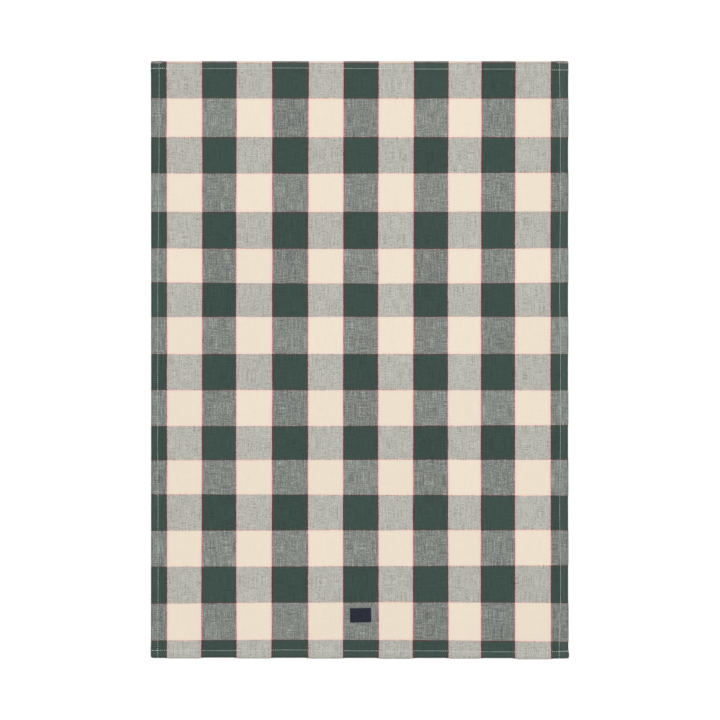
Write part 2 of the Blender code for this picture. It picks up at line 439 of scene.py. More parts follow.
def right_reach(d):
    """How far the cream rows reach out at the right side."""
    out = np.zeros_like(d)
    sign = 1
    for band in WEFT_BANDS[1:]:
        border = (band.start + band.right) * MM
        out += sign * CREAM_ROW_OUT * smooth(d, border - BAND_STEP / 2, border + BAND_STEP / 2)
        sign = -sign
    return out


def plan_place(s, d):
    """Where a place of the square cloth really lies: x and y, with the outline's unevenness."""
    near_s, near_d = np.minimum(s, WIDTH - s), np.minimum(d, LENGTH - d)
    a = np.clip(1 - near_s / CORNER_RADIUS, 0, 1)
    b = np.clip(1 - near_d / CORNER_RADIUS, 0, 1)
    cut_s = CORNER_RADIUS * a * (1 - np.sqrt(1 - b * b / 2))
    cut_d = CORNER_RADIUS * b * (1 - np.sqrt(1 - a * a / 2))
    x = s + np.where(s < WIDTH / 2, cut_s, -cut_s)
    y = d + np.where(d < LENGTH / 2, cut_d, -cut_d)

    x += SIDE_BOW * np.sin(math.pi * np.clip(d / LENGTH, 0, 1)) * (1 - 2 * s / WIDTH)
    right_side = np.clip(1 - (WIDTH - s) / HEM_END_DEPTH, 0, 1)
    lower_line = along_line(LOWER_LINE, s / WIDTH) * MM
    # Most of the step back to the side's line lies below the stitches.
    above_end = smooth(d, lower_line - 0.7 * HEM_END_STEP, lower_line + 0.3 * HEM_END_STEP)
    x += HEM_END_OUT * right_side * (1 - above_end)
    x += right_reach(d) * right_side * smooth(d, lower_line, lower_line + STITCH_PULL)
    y -= lower_reach(s) * np.clip(1 - d / REACH_DEPTH, 0, 1)
    return LEFT + x, LOWER + y


def open_waves(s, d, cloth):
    """The height of the open cloth over the surface, which the hems hold down at the edges."""
    picks = np.random.default_rng(cloth.seed)
    wave = np.zeros_like(s)
    shortest, longest = OPEN_WAVE_LENGTHS
    for _ in range(OPEN_WAVES):
        length = picks.uniform(shortest, longest)
        heading = picks.uniform(0, math.pi)
        phase = picks.uniform(0, 2 * math.pi)
        way = s * math.cos(heading) + d * math.sin(heading)
        wave += np.sin(2 * math.pi * way / length + phase)
    wave = np.clip(wave / OPEN_WAVE_SUM, -1, 1)
    from_edge = np.minimum(np.minimum(s, WIDTH - s), np.minimum(d, LENGTH - d))
    return (cloth.lift + cloth.wave * wave) * smooth(from_edge, *OPEN_WAVE_FADE)


def puckers(s, d, cloth):
    """Small waves that the stitches draw into the cloth beside the hems."""
    left, right, lower, upper = stitch_lines(s, d)
    height = np.zeros_like(s)
    insets = ((s - left, d), (WIDTH - s - right, d), (d - lower, s), (LENGTH - d - upper, s))
    for number, (beyond, along) in enumerate(insets):
        picks = np.random.default_rng(cloth.seed + 1 + number)
        wave = np.zeros_like(s)
        for length in PUCKER_LENGTHS:
            wave += np.sin(2 * math.pi * along / length + picks.uniform(0, 2 * math.pi))
        near = smooth(beyond, PUCKER_START, PUCKER_PEAK) * (1 - smooth(beyond, PUCKER_PEAK, PUCKER_END))
        height += near * (1 + wave / len(PUCKER_LENGTHS)) / 2
    return cloth.pucker * height


def lay(s, d, z, cloth):
    """Puts points of the square, hemmed cloth where they really lie, as an array of x, y, z."""
    side, end = hem_shares(s, d)
    squeezed = 1 - cloth.squeeze * side * end
    z = z * squeezed
    middle = cloth.layer * (1 + 2 * side) * (1 + 2 * end) * squeezed / 2

    left, right, lower, upper = stitch_lines(s, d)
    pull = np.zeros_like(s)
    for beyond in (s - left, WIDTH - s - right, d - lower, LENGTH - d - upper):
        pull = np.maximum(pull, np.clip(1 - (beyond / STITCH_PULL) ** 2, 0, 1) ** 2)
    z = middle + (z - middle) * (1 - cloth.groove * pull)

    z = z + open_waves(s, d, cloth) + puckers(s, d, cloth)
    x, y = plan_place(s, d)
    return np.stack([x, y, z], axis=-1)


def face_height(s, d, cloth):
    """The top of the flat, hemmed cloth before it is laid."""
    side, end = hem_shares(s, d)
    middle = (1 + 2 * side) * (2 * end + 0.5) + side
    return cloth.layer * middle + cloth.thickness / 2


def on_face(s, d, cloth):
    """Points on the face of the laid cloth."""
    return lay(s, d, face_height(s, d, cloth), cloth)


HemPath = namedtuple("HemPath", "centre radius level turn")


def hem_path(stack, line, cloth):
    """The cloth's way round a hem, from the open cloth to its cut edge, one row for each station.

    stack is how many layers turn together, and line how far the stitches are from the fold.
    centre is the distance from the fold of the station or of its turn's middle, radius is that
    turn's, level counts the stacks under the station, and turn is how far the face has turned.
    """
    stack, line = np.broadcast_arrays(np.asarray(stack, float), np.asarray(line, float))
    spread = cloth.layer * (stack - 1) / 2 + cloth.thickness / 2
    outer = cloth.layer * stack
    inner = outer / 2
    edge = line + EDGE_BEYOND_STITCH
    outer_centre = outer + spread
    inner_centre = edge - inner - spread
    flat = np.zeros_like(line)

    rows = []
    for beyond in SLOPE_SHARES:
        rows.append((edge + beyond * HEM_SLOPE, flat, 2 * (1 - smooth(beyond, 0, 1)), 0))
    for place in (line + STITCH_PULL, line, line - STITCH_PULL, (line + outer_centre) / 2):
        rows.append((place, flat, 2, 0))
    for turn in np.linspace(0, math.pi, OUTER_STEPS + 1):
        rows.append((outer_centre, outer, 1 + math.cos(turn), turn))
    for part in BACK_SHARES:
        rows.append((outer_centre + (inner_centre - outer_centre) * part, flat, 0, math.pi))
    for turn in np.linspace(math.pi, 2 * math.pi, INNER_STEPS + 1):
        rows.append((inner_centre, inner, 0.5 + math.cos(turn) / 2, turn))
    cut_edge = outer_centre + RAW_EDGE_GAP
    for part in INSIDE_SHARES:
        rows.append((inner_centre + (cut_edge - inner_centre) * part, flat, 1, 2 * math.pi))
    centre, radius, level, turn = zip(*rows)
    return HemPath(np.stack(centre), np.stack(radius), np.array(level), np.array(turn))


def cloth_distance(line, cloth):
    """How far along the cloth each station of a hem's path is from its fold, below 0 once turned."""
    path = hem_path(1, line, cloth)
    turn = path.turn.reshape(-1, *[1] * (path.centre.ndim - 1))
    level = path.level.reshape(turn.shape)
    inset = path.centre - path.radius * np.sin(turn)
    height = cloth.layer * level + np.zeros_like(inset)
    steps = np.hypot(np.diff(inset, axis=0), np.diff(height, axis=0))
    steps[:FACE_STATIONS] = -np.diff(inset, axis=0)[:FACE_STATIONS]
    return inset[0] - np.concatenate([np.zeros_like(inset[:1]), np.cumsum(steps, axis=0)])


def even_places(start, end, borders, spacing):
    """Places from start to end, with one at each border and even steps between."""
    stops = [start] + [b for b in borders if start + spacing < b < end - spacing] + [end]
    places = []
    for low, high in zip(stops, stops[1:]):
        count = max(1, round((high - low) / spacing))
        places += [low + (high - low) * step / count for step in range(count)]
    return np.array(places[1:])


def sheet_object(name, face, back, maps):
    """A closed sheet from two grids of points, with one UV map for each pair of arrays in maps."""
    rows, columns = face.shape[:2]
    points = np.concatenate([back.reshape(-1, 3), face.reshape(-1, 3)])
    number = np.arange(rows * columns).reshape(rows, columns)
    quads = np.stack([number[:-1, :-1], number[:-1, 1:], number[1:, 1:], number[1:, :-1]], -1).reshape(-1, 4)
    rim = np.concatenate([number[0], number[1:, -1], number[-1, -2::-1], number[-2:0:-1, 0]])
    after = np.roll(rim, -1)
    half = rows * columns
    walls = np.stack([rim, after, after + half, rim + half], -1)
    faces = np.concatenate([quads[:, ::-1], walls, quads + half])

    mesh = bpy.data.meshes.new(name)
    mesh.from_pydata(points.tolist(), [], faces.tolist())
    mesh.shade_smooth()
    corners = faces.reshape(-1) % half
    for map_name, (across, along) in maps.items():
        places = np.stack([across.reshape(-1), along.reshape(-1)], -1)[corners]
        mesh.uv_layers.new(name=map_name).uv.foreach_set("vector", places.astype(np.float32).ravel())
    piece = bpy.data.objects.new(name, mesh)
    bpy.context.scene.collection.objects.link(piece)
    return piece


def add_node(tree, kind, inputs=None, **settings):
    """Adds a node. settings are its own, and inputs gives each socket a value, a socket or a node."""
    node = tree.nodes.new(kind)
    for name, value in settings.items():
        setattr(node, name, value)
    for socket, value in (inputs or {}).items():
        if isinstance(value, bpy.types.Node):
            value = next(output for output in value.outputs if output.enabled)
        if isinstance(value, bpy.types.NodeSocket):
            tree.links.new(value, node.inputs[socket])
        else:
            node.inputs[socket].default_value = value
    return node


def new_material(name):
    """A material with its node tree and its shader."""
    material = bpy.data.materials.new(name)
    material.use_nodes = True
    return material, material.node_tree, material.node_tree.nodes["Principled BSDF"]


def opaque(rgb):
    """A colour with full alpha."""
    return (*rgb, 1)


def streaks(tree, yarns, across, along):
    """Noise on the cloth whose spots are across wide and along long, in metres."""
    place = {0: yarns, 1: (1 / across, 1 / along, 1)}
    place = add_node(tree, "ShaderNodeVectorMath", place, operation="MULTIPLY")
    settings = {"Vector": place, "Scale": 1, "Detail": 0}
    return add_node(tree, "ShaderNodeTexNoise", settings, noise_dimensions="2D").outputs[0]


def pick_square(tree, light, squares, data_type="FLOAT"):
    """The value of the kind of square that a place is in. light says which of its yarns are cream."""
    first = {"FLOAT": 2, "RGBA": 6}[data_type]
    picked = []
    for dark, pale in ((squares.green, squares.cream_warp), (squares.green_warp, squares.cream)):
        inputs = {0: light.outputs[0], first: dark, first + 1: pale}
        picked.append(add_node(tree, "ShaderNodeMix", inputs, data_type=data_type))
    inputs = {0: light.outputs[1], first: picked[0], first + 1: picked[1]}
    return add_node(tree, "ShaderNodeMix", inputs, data_type=data_type)


def band_edge(tree, distance, width, soft):
    """1 closer to a border than width, falling to 0 over soft. Both are shares of a band."""
    inputs = {"Value": distance, "From Min": width, "From Max": width + soft, "To Min": 1, "To Max": 0}
    return add_node(tree, "ShaderNodeMapRange", inputs, clamp=True)


def make_weave(tree, yarns, yarn):
    """The weave, and the luck of each crossing of two yarns, by the width of a yarn.

    The weave is 1 where a lengthwise yarn is on top and -1 where a crosswise one is.
    """
    turns = math.pi / yarn
    weave = add_node(tree, "ShaderNodeVectorMath", {0: yarns, 1: (turns, turns, 0)}, operation="MULTIPLY")
    weave = add_node(tree, "ShaderNodeVectorMath", {0: weave}, operation="SINE")
    weave = add_node(tree, "ShaderNodeSeparateXYZ", {0: weave}).outputs
    weave = add_node(tree, "ShaderNodeMath", {0: weave[0], 1: weave[1]}, operation="MULTIPLY")
    crossing = {0: yarns, 1: (1 / yarn, 1 / yarn, 0)}
    crossing = add_node(tree, "ShaderNodeVectorMath", crossing, operation="MULTIPLY")
    crossing = add_node(tree, "ShaderNodeVectorMath", {0: crossing}, operation="FLOOR")
    luck = add_node(tree, "ShaderNodeTexWhiteNoise", {"Vector": crossing}, noise_dimensions="2D")
    return weave, luck


def find_band(tree, luck):
    """The place on the check in bands, the two bands that cross there, and which of them are cream.

    The borders are a little ragged, because each crossing belongs to one yarn or the other.
    """
    bands = add_node(tree, "ShaderNodeUVMap", uv_map="Bands")
    shift = {0: luck.outputs["Color"], 1: (RAGGED, RAGGED, 0), 2: (-RAGGED / 2, -RAGGED / 2, 0)}
    ragged = add_node(tree, "ShaderNodeVectorMath", shift, operation="MULTIPLY_ADD")
    place = add_node(tree, "ShaderNodeVectorMath", {0: bands, 1: ragged}, operation="ADD")
    band = add_node(tree, "ShaderNodeVectorMath", {0: place}, operation="FLOOR")
    parity = add_node(tree, "ShaderNodeVectorMath", {0: band, 1: (2, 2, 2)}, operation="MODULO")
    light = add_node(tree, "ShaderNodeSeparateXYZ", {0: parity})
    return place, band, light


def yarn_tone(tree, yarns, weave, luck):
    """Thick and thin places of the yarns, both ways, as a number round 0."""
    speck = add_node(tree, "ShaderNodeMath", {0: weave}, operation="ABSOLUTE")
    fair = {0: luck.outputs["Value"], 1: SPECK_SPREAD, 2: -SPECK_SPREAD / 2}
    fair = add_node(tree, "ShaderNodeMath", fair, operation="MULTIPLY_ADD")
    mean = sum(row.share for row in YARN_STREAKS) / 2
    tone = add_node(tree, "ShaderNodeMath", {0: speck, 1: fair, 2: -mean}, operation="MULTIPLY_ADD")
    parts = [(streaks(tree, yarns, row.across * MM, row.along * MM), row.share) for row in YARN_STREAKS]
    for part, share_of_tone in (*parts, (weave, WEAVE_SHARE)):
        inputs = {0: part, 1: share_of_tone, 2: tone}
        tone = add_node(tree, "ShaderNodeMath", inputs, operation="MULTIPLY_ADD")
    return tone


def square_gain(tree, yarns, tone, band, light, uneven):
    """What the unevenness multiplies a square's colour by, strongest where the two colours cross."""
    amount = pick_square(tree, light, STREAK_DEPTH)
    amount = add_node(tree, "ShaderNodeMath", {0: amount, 1: uneven}, operation="MULTIPLY")
    gain = add_node(tree, "ShaderNodeMath", {0: tone, 1: amount, 2: 1}, operation="MULTIPLY_ADD")

    # Flecks: the few yarns that stand out most do so pale on the green warp and dark on the cream
    fleck = add_node(tree, "ShaderNodeMath", {0: tone, 1: tone}, operation="MULTIPLY")

    # Slubs: thick places where the crosswise yarn hides the lengthwise ones
    slub = streaks(tree, yarns, *SLUB_SIZE)
    slub = add_node(tree, "ShaderNodeMapRange", {"Value": slub, "From Min": 0.62, "From Max": 0.8})

    # No two squares are quite as dense.
    density = add_node(tree, "ShaderNodeTexWhiteNoise", {"Vector": band}, noise_dimensions="2D")
    density = add_node(tree, "ShaderNodeMath", {0: density, 1: 0.5}, operation="SUBTRACT")

    for part, depths in ((fleck, FLECK_DEPTH), (slub, SLUB_DEPTH), (density, DENSITY_SPREAD)):
        inputs = {0: part, 1: pick_square(tree, light, depths), 2: gain}
        gain = add_node(tree, "ShaderNodeMath", inputs, operation="MULTIPLY_ADD")
    return gain


def red_yarns(tree, yarns, part, rest, light, check):
    """Where red yarns lie: two inside each border of a green warp band, one inside the weft's.

    part and rest are the distances from the borders below and above, as shares of a band.
    """
    end_width = check.red_end / (BAND_WIDTH * MM)
    left_ends = band_edge(tree, part[0], end_width, RED_SOFT)
    right_ends = band_edge(tree, rest[0], end_width, RED_SOFT)
    right_ends = add_node(tree, "ShaderNodeMath", {0: right_ends, 1: RIGHT_ENDS_SHOWN}, operation="MULTIPLY")
    ends = add_node(tree, "ShaderNodeMath", {0: left_ends, 1: right_ends}, operation="MAXIMUM")
    nearest = add_node(tree, "ShaderNodeMath", {0: part[1], 1: rest[1]}, operation="MINIMUM")
    picks = band_edge(tree, nearest, check.red_pick / (BAND_WIDTH * MM), RED_SOFT)

    masks = []
    for mask, is_cream in ((ends, light.outputs[0]), (picks, light.outputs[1])):
        is_green = add_node(tree, "ShaderNodeMath", {0: 1, 1: is_cream}, operation="SUBTRACT")
        masks.append(add_node(tree, "ShaderNodeMath", {0: mask, 1: is_green}, operation="MULTIPLY"))
    ends, picks = masks

    # The crosswise red yarn comes and goes along its border.
    shown = streaks(tree, yarns, *RED_PATCH)
    shown = {"Value": shown, "From Min": 0.35, "From Max": 0.65, "To Min": 0.15, "To Max": 0.8}
    shown = add_node(tree, "ShaderNodeMapRange", shown)
    return ends, add_node(tree, "ShaderNodeMath", {0: picks, 1: shown}, operation="MULTIPLY")


def tinge_neighbours(tree, toned, part, rest, tinge):
    """The cloth's colour with the fluff of the red yarns in what is beside them."""
    reach = tinge / (BAND_WIDTH * MM) - TINGE_START
    beside = []
    for below, above in zip(part[:2], rest[:2]):
        nearest = add_node(tree, "ShaderNodeMath", {0: below, 1: above}, operation="MINIMUM")
        beside.append(band_edge(tree, nearest, TINGE_START, reach))
    beside_end, beside_pick = beside
    beside_pick = add_node(tree, "ShaderNodeMath", {0: beside_pick, 1: PICK_TINGE}, operation="MULTIPLY")
    beside = add_node(tree, "ShaderNodeMath", {0: beside_end, 1: beside_pick}, operation="MAXIMUM")
    less = {0: beside, 6: (1, 1, 1, 1), 7: TINGE_LEAVES}
    less = add_node(tree, "ShaderNodeMix", less, data_type="RGBA")
    more = add_node(tree, "ShaderNodeVectorMath", {0: TINGE_ADDS, 3: beside}, operation="SCALE")
    return add_node(tree, "ShaderNodeVectorMath", {0: toned, 1: less, 2: more}, operation="MULTIPLY_ADD")


def make_cloth_material(check):
    """Plain-woven cloth of linen and cotton yarns that were dyed before weaving.

    The dull spun yarns scatter light evenly, with a faint nap. Each crossing shows more of one
    yarn or the other, and thick and thin places in the yarns show as short streaks both ways.
    Both stand out most where a light yarn crosses a dark one.
    """
    material, tree, shader = new_material("plain_woven_linen_and_cotton")
    yarns = add_node(tree, "ShaderNodeUVMap", uv_map="Yarns")
    weave, luck = make_weave(tree, yarns, check.yarn)
    place, band, light = find_band(tree, luck)
    tone = yarn_tone(tree, yarns, weave, luck)

    colours = Squares(*(opaque(getattr(check, square)) for square in Squares._fields))
    base = pick_square(tree, light, colours, "RGBA")
    gain = square_gain(tree, yarns, tone, band, light, check.uneven)
    toned = add_node(tree, "ShaderNodeVectorMath", {0: base, 3: gain}, operation="SCALE")

    # The red yarns, and their fluff in what is beside them
    part = add_node(tree, "ShaderNodeVectorMath", {0: place}, operation="FRACTION")
    rest = add_node(tree, "ShaderNodeVectorMath", {0: (1, 1, 1), 1: part}, operation="SUBTRACT")
    part, rest = (add_node(tree, "ShaderNodeSeparateXYZ", {0: way}).outputs for way in (part, rest))
    ends, picks = red_yarns(tree, yarns, part, rest, light, check)
    red_gain = {0: tone, 1: RED_UNEVEN, 2: 1}
    red_gain = add_node(tree, "ShaderNodeMath", red_gain, operation="MULTIPLY_ADD")
    warp_is_cream, weft_is_cream = light.outputs[:2]
    red_sets = ((picks, warp_is_cream, check.pick_on_cream), (ends, weft_is_cream, check.end_on_cream))
    for mask, crossed, on_cream in red_sets:
        red = {0: crossed, 6: opaque(check.red_on_green), 7: opaque(on_cream)}
        red = add_node(tree, "ShaderNodeMix", red, data_type="RGBA")
        red = add_node(tree, "ShaderNodeVectorMath", {0: red, 3: red_gain}, operation="SCALE")
        toned = add_node(tree, "ShaderNodeMix", {0: mask, 6: toned, 7: red}, data_type="RGBA")
    toned = tinge_neighbours(tree, toned, part, rest, check.tinge)

    # Painted shade: the folds and the stitch grooves are darkened, standing in for the shade that falls in
    # them.
    painted_shade = add_node(tree, "ShaderNodeAttribute", attribute_name="painted_shade").outputs["Fac"]
    shade = {0: painted_shade, 1: -FOLD_PAINTED_SHADE, 2: 1}
    shade = add_node(tree, "ShaderNodeMath", shade, operation="MULTIPLY_ADD")
    toned = add_node(tree, "ShaderNodeVectorMath", {0: toned, 3: shade}, operation="SCALE")

    # Painted light: the hems' rounded strips, outside the stitches, are made paler, standing in for the
    # light on their raised layers.
    painted_hem_light = add_node(tree, "ShaderNodeAttribute", attribute_name="painted_hem_light").outputs["Fac"]
    toned = add_node(tree, "ShaderNodeVectorMath", {0: toned, 1: painted_hem_light}, operation="ADD")
    tree.links.new(toned.outputs[0], shader.inputs["Base Color"])

    rough = {"Value": tone, "From Min": -0.4, "From Max": 0.4, "To Min": 0.8, "To Max": 0.95}
    rough = add_node(tree, "ShaderNodeMapRange", rough)
    tree.links.new(rough.outputs[0], shader.inputs["Roughness"])
    shader.inputs["Specular IOR Level"].default_value = 0.25
    shader.inputs["Sheen Weight"].default_value = 0.08
    shader.inputs["Sheen Roughness"].default_value = 0.5

    relief = add_node(tree, "ShaderNodeMath", {0: weave, 1: 0.3, 2: tone}, operation="MULTIPLY_ADD")
    bump = {"Height": relief, "Strength": 0.5, "Distance": 0.1 * MM}
    bump = add_node(tree, "ShaderNodeBump", bump)
    tree.links.new(bump.outputs[0], shader.inputs["Normal"])
    return material


def painted_shade_amount(s, d):
    """How much painted shade darkens a place: 1 on the folds and a little in the stitch grooves, falling to
    0 beside them.
    """
    left, right, lower, upper = stitch_lines(s, d)
    amount = np.zeros_like(s)
    for inset, line in ((s, left), (WIDTH - s, right), (d, lower), (LENGTH - d, upper)):
        fold = 1 - smooth(np.abs(inset), *FOLD_SHADE_REACH)
        groove = GROOVE_PAINTED_SHADE * (1 - smooth(np.abs(inset - line), 0, GROOVE_WIDTH))
        amount = np.maximum(amount, np.maximum(fold, groove))
    return amount


def painted_hem_light_amount(s, d):
    """How much painted light makes the cloth paler: on the hems, from their folds to their stitches."""
    amount = np.zeros_like(s)
    insets = (s, WIDTH - s, d, LENGTH - d)
    for inset, line, paler in zip(insets, stitch_lines(s, d), HEM_PAINTED_LIGHT):
        strip = smooth(inset, 0, HEM_LIGHT_FADE) * (1 - smooth(inset, line - HEM_LIGHT_FADE, line))
        amount += paler * strip
    return amount


ClothWay = namedtuple("ClothWay", "centre radius level turn outward distance")


def cloth_way(stack, low_line, high_line, open_places, far, cloth):
    """The cloth's way from one cut edge to the other, through both hems, one row for each station.

    open_places are its stations between the hems, and far is how far apart the two folds are.
    centre is the distance from the first fold, outward says which way the hems' bends go, and
    distance is the place on the flat cloth. The rest is as in a hem's path.
    """
    low, high = hem_path(stack, low_line, cloth), hem_path(stack, high_line, cloth)
    open_part = np.repeat(open_places[:, None], len(low_line), axis=1)
    flat = np.zeros_like(open_part)
    one_way = np.ones(len(low.turn))
    low_distance, high_distance = cloth_distance(low_line, cloth), cloth_distance(high_line, cloth)
    parts = (
        (low.centre, open_part, far - high.centre),
        (low.radius, flat, high.radius),
        (low.level, flat[:, 0], high.level),
        (low.turn, flat[:, 0], high.turn),
        (-one_way, flat[:, 0], one_way),
        (low_distance, open_part, far - high_distance),
    )
    return ClothWay(*(np.concatenate([first[::-1], middle, last]) for first, middle, last in parts))


def make_cloth(cloth, check):
    """The towel's cloth: one cut sheet, its sides turned twice first, and then its ends over them."""
    warp_borders = [band.start * MM for band in WARP_BANDS[1:]]
    weft_borders = [band.start * MM for band in WEFT_BANDS[1:]]
    mean_lines = [np.mean(line) * MM for line in (LEFT_LINE, RIGHT_LINE, LOWER_LINE, UPPER_LINE)]
    left, right, lower, upper = [line + EDGE_BEYOND_STITCH + HEM_SLOPE for line in mean_lines]
    open_columns = even_places(left, WIDTH - right, warp_borders, cloth.spacing)
    open_rows = even_places(lower, LENGTH - upper, weft_borders, cloth.spacing)

    # The nominal places of the hems' rows, which say where along the side lines they are
    lower_rows, upper_rows = (hem_path(1, line, cloth).centre for line in mean_lines[2:])
    row_places = np.concatenate([lower_rows[::-1], open_rows, LENGTH - upper_rows])
    left_line, right_line, _, _ = stitch_lines(row_places, row_places)

    # Across: the side hems, with the cloth open between them
    across = cloth_way(1, left_line, right_line, open_columns, WIDTH, cloth)
    centre_s, radius_s, cloth_s = across.centre.T, across.radius.T, across.distance.T
    # The layers at each column are one in the open cloth and three on a side hem.
    stack = np.where(across.turn == 0, 1 + across.level, 3)
    offset = cloth.layer * (across.level - (stack - 1) / 2)

    # Along: the end hems, which turn the whole stack of the side hems with them
    column_places = centre_s[len(row_places) // 2]
    _, _, lower_line, upper_line = stitch_lines(column_places, column_places)
    along = cloth_way(stack, lower_line, upper_line, open_rows, LENGTH, cloth)
    level_d, turn_d, outward_d = (row[:, None] for row in (along.level, along.turn, along.outward))
    cloth_d = along.distance

    grids = []
    for side in (1, -1):
        half = side * cloth.thickness / 2
        s = centre_s + across.outward * (radius_s + half) * np.sin(across.turn)
        lifted = offset + half * np.cos(across.turn)
        d = along.centre + outward_d * (along.radius + lifted) * np.sin(turn_d)
        z = cloth.layer * stack * (level_d + 0.5) + lifted * np.cos(turn_d)
        grids.append(lay(s, d, z, cloth))
    face, back = grids

    low_s, low_d = cloth_s.min(), cloth_d.min()
    cut = (cloth_s.max() - low_s, cloth_d.max() - low_d)
    maps = {
        "Bands": band_numbers(cloth_s, cloth_d),
        "Yarns": (cloth_s, cloth_d),
        "OFBake": ((cloth_s - low_s) / cut[0], (cloth_d - low_d) / cut[1]),
    }
    piece = sheet_object("cloth", face, back, maps)
    # The two attributes hold painted shade for the folds and grooves, and painted light for the hems' outer
    # strips.
    amounts = {"painted_shade": painted_shade_amount(cloth_s, cloth_d), "painted_hem_light": painted_hem_light_amount(cloth_s, cloth_d)}
    for name, amount in amounts.items():
        both_sides = np.tile(amount.reshape(-1), 2).astype(np.float32)
        piece.data.attributes.new(name, "FLOAT", "POINT").data.foreach_set("value", both_sides)
    piece.data.materials.append(make_cloth_material(check))
    return piece, cut


def stitch_tree():
    """Geometry Nodes that lay one bent stitch after another along a path of edges."""
    tree = bpy.data.node_groups.new("Stitches along a path", "GeometryNodeTree")
    sockets = (
        ("Path", "NodeSocketGeometry"),
        ("Stitch length", "NodeSocketFloat"),
        ("Thread width", "NodeSocketFloat"),
        ("Shown share", "NodeSocketFloat"),
        ("Rise", "NodeSocketFloat"),
        ("Dip", "NodeSocketFloat"),
        ("Unevenness", "NodeSocketFloat"),
        ("Seed", "NodeSocketInt"),
        ("Thread", "NodeSocketMaterial"),
    )
    for name, kind in sockets:
        tree.interface.new_socket(name, in_out="INPUT", socket_type=kind)
    tree.interface.new_socket("Stitches", in_out="OUTPUT", socket_type="NodeSocketGeometry")
    given = tree.nodes.new("NodeGroupInput").outputs

    # Points along the path, each turned along it, with a size and a tilt of its own
    curve = add_node(tree, "GeometryNodeMeshToCurve", {0: given["Path"]})
    points = {"Curve": curve, "Length": given["Stitch length"]}
    points = add_node(tree, "GeometryNodeCurveToPoints", points, mode="LENGTH")
    heading = {"Vector": points.outputs["Tangent"]}
    heading = add_node(tree, "FunctionNodeAlignRotationToVector", heading, axis="X", pivot_axis="Z")
    slope = {"Rotation": heading, "Vector": points.outputs["Tangent"]}
    slope = add_node(tree, "FunctionNodeAlignRotationToVector", slope, axis="X", pivot_axis="Y")
    least = add_node(tree, "ShaderNodeMath", {0: 1, 1: given["Unevenness"]}, operation="SUBTRACT")
    most = add_node(tree, "ShaderNodeMath", {0: 1, 1: given["Unevenness"]}, operation="ADD")
    sizes = {0: least, 1: most, "Seed": given["Seed"]}
    sizes = add_node(tree, "FunctionNodeRandomValue", sizes, data_type="FLOAT_VECTOR")
    tilt = add_node(tree, "ShaderNodeMath", {0: given["Unevenness"], 1: -1}, operation="MULTIPLY")
    tilt = {2: tilt, 3: given["Unevenness"], "Seed": given["Seed"]}
    tilt = add_node(tree, "FunctionNodeRandomValue", tilt, data_type="FLOAT")
    tilt = add_node(tree, "ShaderNodeCombineXYZ", {2: tilt})
    tilt = add_node(tree, "FunctionNodeEulerToRotation", {0: tilt})
    turned = {"Rotation": slope, "Rotate By": tilt}
    turned = add_node(tree, "FunctionNodeRotateRotation", turned, rotation_space="LOCAL")

    # One stitch: a round thread that rises in its middle and dips at its ends
    shown = {0: given["Stitch length"], 1: given["Shown share"]}
    shown = add_node(tree, "ShaderNodeMath", shown, operation="MULTIPLY")
    end = add_node(tree, "ShaderNodeMath", {0: shown, 1: 0.5}, operation="MULTIPLY")
    start = add_node(tree, "ShaderNodeMath", {0: shown, 1: -0.5}, operation="MULTIPLY")
    down = add_node(tree, "ShaderNodeMath", {0: given["Dip"], 1: -1}, operation="MULTIPLY")
    start = add_node(tree, "ShaderNodeCombineXYZ", {0: start, 2: down})
    end = add_node(tree, "ShaderNodeCombineXYZ", {0: end, 2: down})
    top = add_node(tree, "ShaderNodeCombineXYZ", {2: given["Rise"]})
    bend = {"Resolution": STITCH_STEPS, "Start": start, "Middle": top, "End": end}
    bend = add_node(tree, "GeometryNodeCurveQuadraticBezier", bend)
    radius = add_node(tree, "ShaderNodeMath", {0: given["Thread width"], 1: 0.5}, operation="MULTIPLY")
    ring = {"Resolution": THREAD_SIDES, "Radius": radius}
    ring = add_node(tree, "GeometryNodeCurvePrimitiveCircle", ring)
    stitch = {"Curve": bend, "Profile Curve": ring, "Fill Caps": True}
    stitch = add_node(tree, "GeometryNodeCurveToMesh", stitch)

    # A stitch at each point
    rows = {"Points": points, "Instance": stitch, "Rotation": turned, "Scale": sizes}
    rows = add_node(tree, "GeometryNodeInstanceOnPoints", rows)
    rows = add_node(tree, "GeometryNodeRealizeInstances", {0: rows})
    rows = add_node(tree, "GeometryNodeSetShadeSmooth", {0: rows})
    rows = add_node(tree, "GeometryNodeSetMaterial", {0: rows, "Material": given["Thread"]})
    add_node(tree, "NodeGroupOutput", {0: rows})
    return tree


def sew(name, tree, paths, values):
    """Sews stitches along paths, which are arrays of points, and returns them as one plain mesh."""
    points, edges = [], []
    for path in paths:
        edges += [(len(points) + i, len(points) + i + 1) for i in range(len(path) - 1)]
        points += path.tolist()
    mesh = bpy.data.meshes.new(name + "_path")
    mesh.from_pydata(points, edges, [])
    path_object = bpy.data.objects.new(name + "_path", mesh)
    bpy.context.scene.collection.objects.link(path_object)
    modifier = path_object.modifiers.new("Stitches", "NODES")
    modifier.node_group = tree
    for socket in tree.interface.items_tree:
        if socket.name in values:
            modifier[socket.identifier] = values[socket.name]
    evaluated = path_object.evaluated_get(bpy.context.evaluated_depsgraph_get())
    sewn = bpy.data.meshes.new_from_object(evaluated)
    bpy.data.objects.remove(path_object)
    bpy.data.meshes.remove(mesh)
    sewn.name = name
    piece = bpy.data.objects.new(name, sewn)
    bpy.context.scene.collection.objects.link(piece)
    return piece


